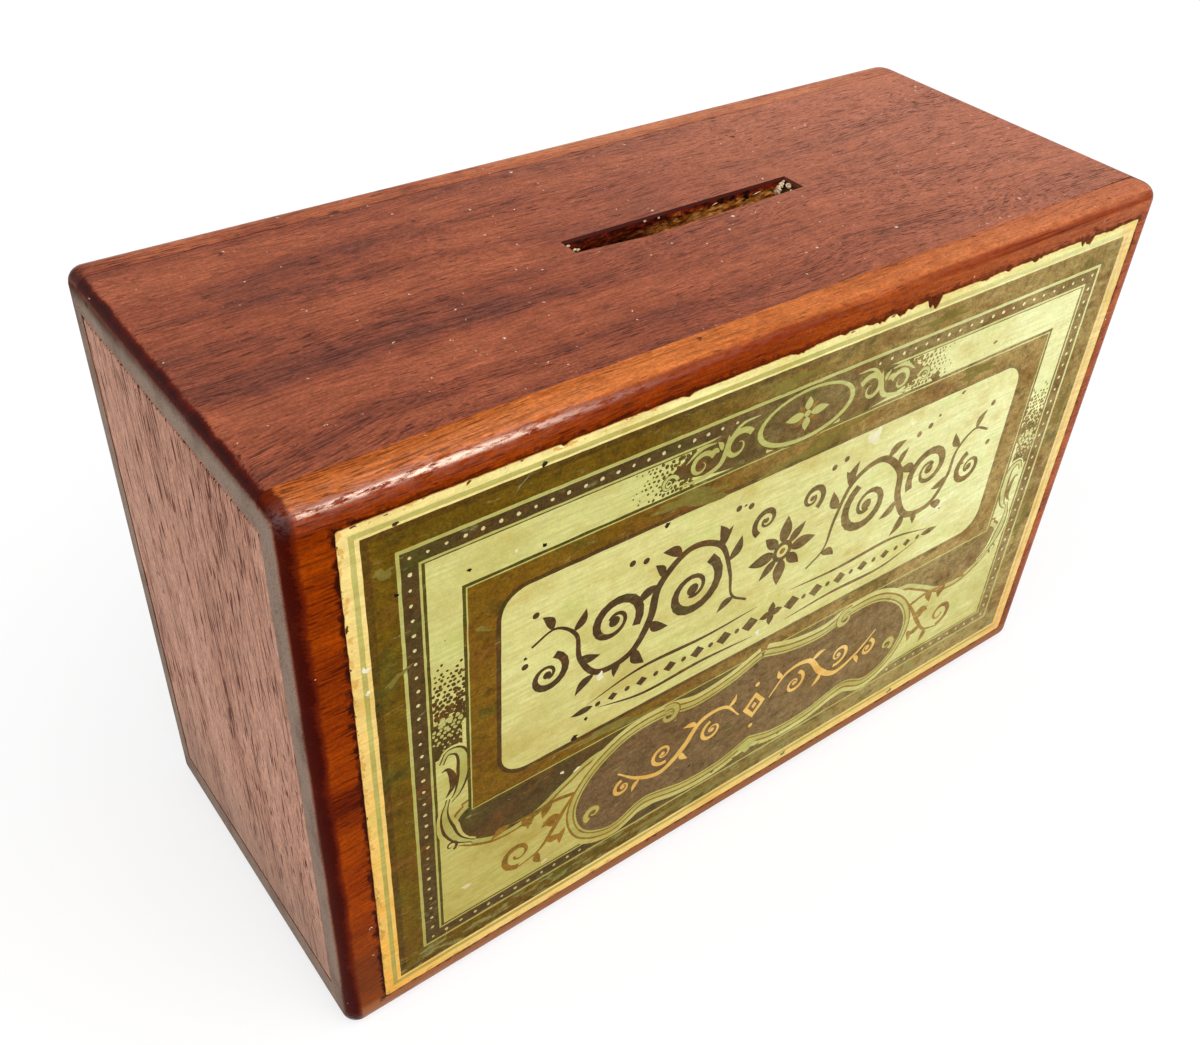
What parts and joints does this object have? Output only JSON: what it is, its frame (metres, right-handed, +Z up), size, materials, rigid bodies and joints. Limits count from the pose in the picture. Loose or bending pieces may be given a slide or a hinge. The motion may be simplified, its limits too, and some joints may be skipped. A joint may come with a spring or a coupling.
{
  "type": "offering box",
  "caption": "Small varnished wooden collection box with a coin slot in the top, a decorated front label and a screwed hatch in the base.",
  "frame": {"origin": "middle of the underside, on the surface the box stands on", "axes": "+X along the box to the right seen from the front, -Y out of the labelled front, +Z up"},
  "size_m": [0.152, 0.0622, 0.0985],
  "materials": {
    "varnished_board": "gloss",
    "varnished_top": "gloss",
    "end_panel_wood": "gloss",
    "printed_label": "gloss",
    "brass_screw": "satin"
  },
  "bodies": {
    "box": {"front_board": "varnished_board", "back_board": "varnished_board", "top_board": "varnished_top", "base_board": "varnished_board", "left_end_panel": "end_panel_wood", "right_end_panel": "end_panel_wood", "front_label": "printed_label"},
    "hatch": {"base_hatch": "varnished_board"},
    "screw_1": {"hatch_screw_1": "brass_screw"},
    "screw_2": {"hatch_screw_2": "brass_screw"},
    "screw_3": {"hatch_screw_3": "brass_screw"},
    "screw_4": {"hatch_screw_4": "brass_screw"}
  },
  "joints": [
    {"name": "hatch_drop", "type": "slide", "parent": "box", "child": "hatch", "axis": [0, 0, -1], "range_m": [0, 0.04]},
    {"name": "screw_draw_1", "type": "slide", "parent": "hatch", "child": "screw_1", "axis": [0, 0, -1], "range_m": [0, 0.009]},
    {"name": "screw_draw_2", "type": "slide", "parent": "hatch", "child": "screw_2", "axis": [0, 0, -1], "range_m": [0, 0.009]},
    {"name": "screw_draw_3", "type": "slide", "parent": "hatch", "child": "screw_3", "axis": [0, 0, -1], "range_m": [0, 0.009]},
    {"name": "screw_draw_4", "type": "slide", "parent": "hatch", "child": "screw_4", "axis": [0, 0, -1], "range_m": [0, 0.009]}
  ]
}
